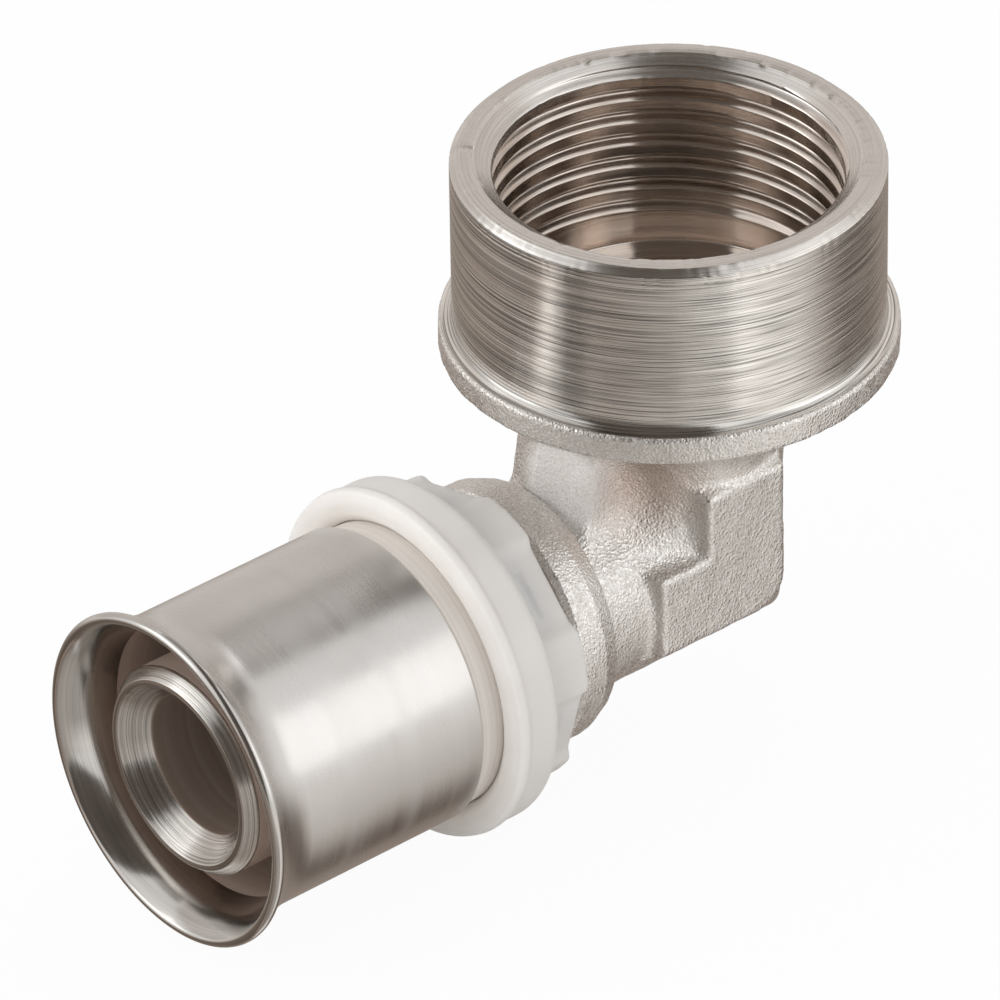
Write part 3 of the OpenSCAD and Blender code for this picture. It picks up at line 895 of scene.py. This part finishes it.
def make_front_card():
    """The dark opening towards the camera, from the floor's far edge up and over the object."""
    radius, levels, columns = 0.56, (-4, 20, 53, 95), 17
    left_side, right_side = (-46, -48, -31, -19), (2, 20, 18.5, 11)
    rows = []
    for level in range(-4, 101, 4):
        left, right = (np.interp(level, levels, side) for side in (left_side, right_side))
        lift = math.radians(level)
        rows.append([(radius * math.cos(across) * math.cos(lift), radius * math.sin(across),
                      radius * math.cos(across) * math.sin(lift))
                     for across in np.radians(np.linspace(left, right, columns))])
    dark = clouded("front_dark", 4.0, (0.10, 0.085, 0.075), (0.14, 0.12, 0.105))
    round_card("front_card", *sheet(rows), dark)


def make_back_card():
    """The pale wall behind the object, seen from the camera."""
    radius, columns = 0.7, 24
    rows = []
    for level in range(-4, 47, 5):
        lift = math.radians(level)
        rows.append([(radius * math.cos(turn) * math.cos(lift), radius * math.sin(turn) * math.cos(lift),
                      radius * math.sin(lift)) for turn in np.radians(np.linspace(112, 250, columns))])
    round_card("back_card", *sheet(rows), clouded("back_grey", 3.0, (0.68, 0.64, 0.61), (0.76, 0.72, 0.69)))


def make_overhead_card():
    """The grey card over the object."""
    left, right, near, far, height = -0.22, 0.42, -0.12, 0.5, 0.6
    points = [(left, near, height), (right, near, height), (right, far, height), (left, far, height)]
    grey = clouded("overhead_grey", 3.0, (0.36, 0.335, 0.31), (0.40, 0.375, 0.35))
    card("overhead_card", points, [(0, 1, 2, 3)], grey)


def background_share(tree):
    """1 where the camera, a reflection or see-through material looks at the background."""
    path = node(tree, "ShaderNodeLightPath").outputs
    seen = maths(tree, "ADD", path["Is Camera Ray"], path["Is Glossy Ray"])
    return maths(tree, "ADD", seen, path["Is Transmission Ray"], clamp=True)


def make_floor():
    """The pale floor, nearly white where it is seen, so that it keeps the object's shadow."""
    reach, white_share = 3, 0.95
    material, tree, shader = nodes_of("pale_floor")
    preset(shader, {"Roughness": 0.8})
    clouds = noise(tree, place(tree), scale=20.0)
    connect(tree, shader, Base_Color=ramp(tree, clouds, [(0.3, 0.86), (0.7, 0.9)]))
    white = node(tree, "ShaderNodeEmission", {"Color": WHITE, "Strength": 1.0})
    share = maths(tree, "MULTIPLY", background_share(tree), white_share)
    mix = node(tree, "ShaderNodeMixShader", {0: share, 1: shader.outputs[0], 2: white.outputs[0]})
    tree.links.new(mix.outputs[0], tree.nodes["Material Output"].inputs["Surface"])
    points = [(x * reach, y * reach, FLOOR_Z) for x, y in ((-1, -1), (1, -1), (1, 1), (-1, 1))]
    floor = stage_mesh("floor", points, [(0, 1, 2, 3)], material)
    floor.visible_glossy = False


def make_world():
    """A plain pale sky that shows as white."""
    world = bpy.data.worlds.new("studio")
    bpy.context.scene.world = world
    world.use_nodes = True
    tree = world.node_tree
    sky = tree.nodes["Background"]
    sky.inputs["Color"].default_value = (0.97, 0.98, 1.0, 1)
    sky.inputs["Strength"].default_value = 0.7
    white = node(tree, "ShaderNodeBackground", {"Color": WHITE, "Strength": 1.0})
    share = background_share(tree)
    mix = node(tree, "ShaderNodeMixShader", {0: share, 1: sky.outputs[0], 2: white.outputs[0]})
    tree.links.new(mix.outputs[0], tree.nodes["World Output"].inputs["Surface"])


def make_lamp(name, offset, elevation, distance, size, watts, glossy=True):
    """An area lamp aimed at the origin, offset in degrees from the camera's side."""
    turn = TOWARDS_CAMERA + math.radians(offset)
    lift = math.radians(elevation)
    back = np.array([math.cos(lift) * math.cos(turn), math.cos(lift) * math.sin(turn), math.sin(lift)])
    data = bpy.data.lights.new(name, "AREA")
    data.size = size
    data.energy = watts
    obj = bpy.data.objects.new(name, data)
    bpy.context.collection.objects.link(obj)
    obj.visible_glossy = glossy
    side = np.cross([0, 0, 1], back)
    side /= np.linalg.norm(side)
    obj.matrix_world = placed(side, np.cross(back, side), back, back * distance)


def make_studio():
    make_surround()
    make_front_card()
    make_back_card()
    make_overhead_card()
    make_floor()
    make_world()
    make_lamp("key", offset=70, elevation=20, distance=0.9, size=0.62, watts=0.7)
    make_lamp("left", offset=-84, elevation=20, distance=0.9, size=0.5, watts=0.9)
    make_lamp("top", offset=160, elevation=62, distance=1.0, size=0.5, watts=0.9)
    make_lamp("front", offset=-49, elevation=10, distance=0.9, size=1.1, watts=6.5, glossy=False)
    bpy.context.scene.view_settings.view_transform = "Standard"


def make_part():
    blasted = blasted_metal()
    turned_wall = turned_metal("turned_nickel", False, (0.62, 0.59, 0.555), (0.76, 0.735, 0.70),
                               rough=0.2, marks=0.9)
    cut_thread = turned_metal("cut_thread", False, (0.60, 0.525, 0.465), (0.74, 0.67, 0.615),
                              rough=0.17, marks=0.22)
    faced_rim = turned_metal("faced_rim", False, (0.64, 0.605, 0.57), (0.72, 0.69, 0.655),
                             rough=0.24, marks=0.2, anisotropy=0.0)
    # Painted highlight: the smooth wall low in the socket gets a brighter base colour than the wall above,
    # standing in for the glints on it.
    smooth_bore = turned_metal("smooth_bore", False, (0.74, 0.67, 0.615), (0.82, 0.76, 0.715),
                               rough=0.12, marks=0.12, anisotropy=0.4)
    turned_spigot = turned_metal("turned_spigot", True, (0.52, 0.49, 0.46), (0.68, 0.655, 0.62),
                                 rough=0.22, marks=0.6)
    satin_steel = turned_metal("satin_steel", True, (0.60, 0.575, 0.555), (0.66, 0.64, 0.62),
                               rough=0.27, marks=0.0, anisotropy=0.3, coarse=500)
    matte_end = turned_metal("matte_steel_end", True, (0.80, 0.755, 0.70), (0.86, 0.81, 0.76),
                             rough=0.6, marks=0.1, anisotropy=0.2, coarse=900, fine=6000, metallic=0.3)
    polished_lip = turned_metal("polished_lip", True, (0.52, 0.495, 0.47), (0.62, 0.60, 0.575),
                                rough=0.17, marks=0.12, anisotropy=0.3, coarse=900, fine=6000)
    # Painted shade and painted brown reflection: one colour for the hidden faces in the gap and the sleeve's
    # inside, a darker one for the spigot's bore.
    gap_painted_shade = shaded_metal("gap_painted_shade", (0.64, 0.51, 0.43), (0.74, 0.60, 0.51))
    bore_painted_shade = shaded_metal("bore_painted_shade", (0.30, 0.23, 0.185), (0.38, 0.30, 0.25))
    make_forged_elbow(blasted)
    make_socket([turned_wall, cut_thread, faced_rim, smooth_bore])
    make_collar(blasted)
    make_spigot([turned_spigot, gap_painted_shade, bore_painted_shade])
    make_sleeve([satin_steel, matte_end, polished_lip, gap_painted_shade])
    make_ring(milky_plastic())
    make_seals(seal_rubber())


set_camera()
make_part()
make_studio()
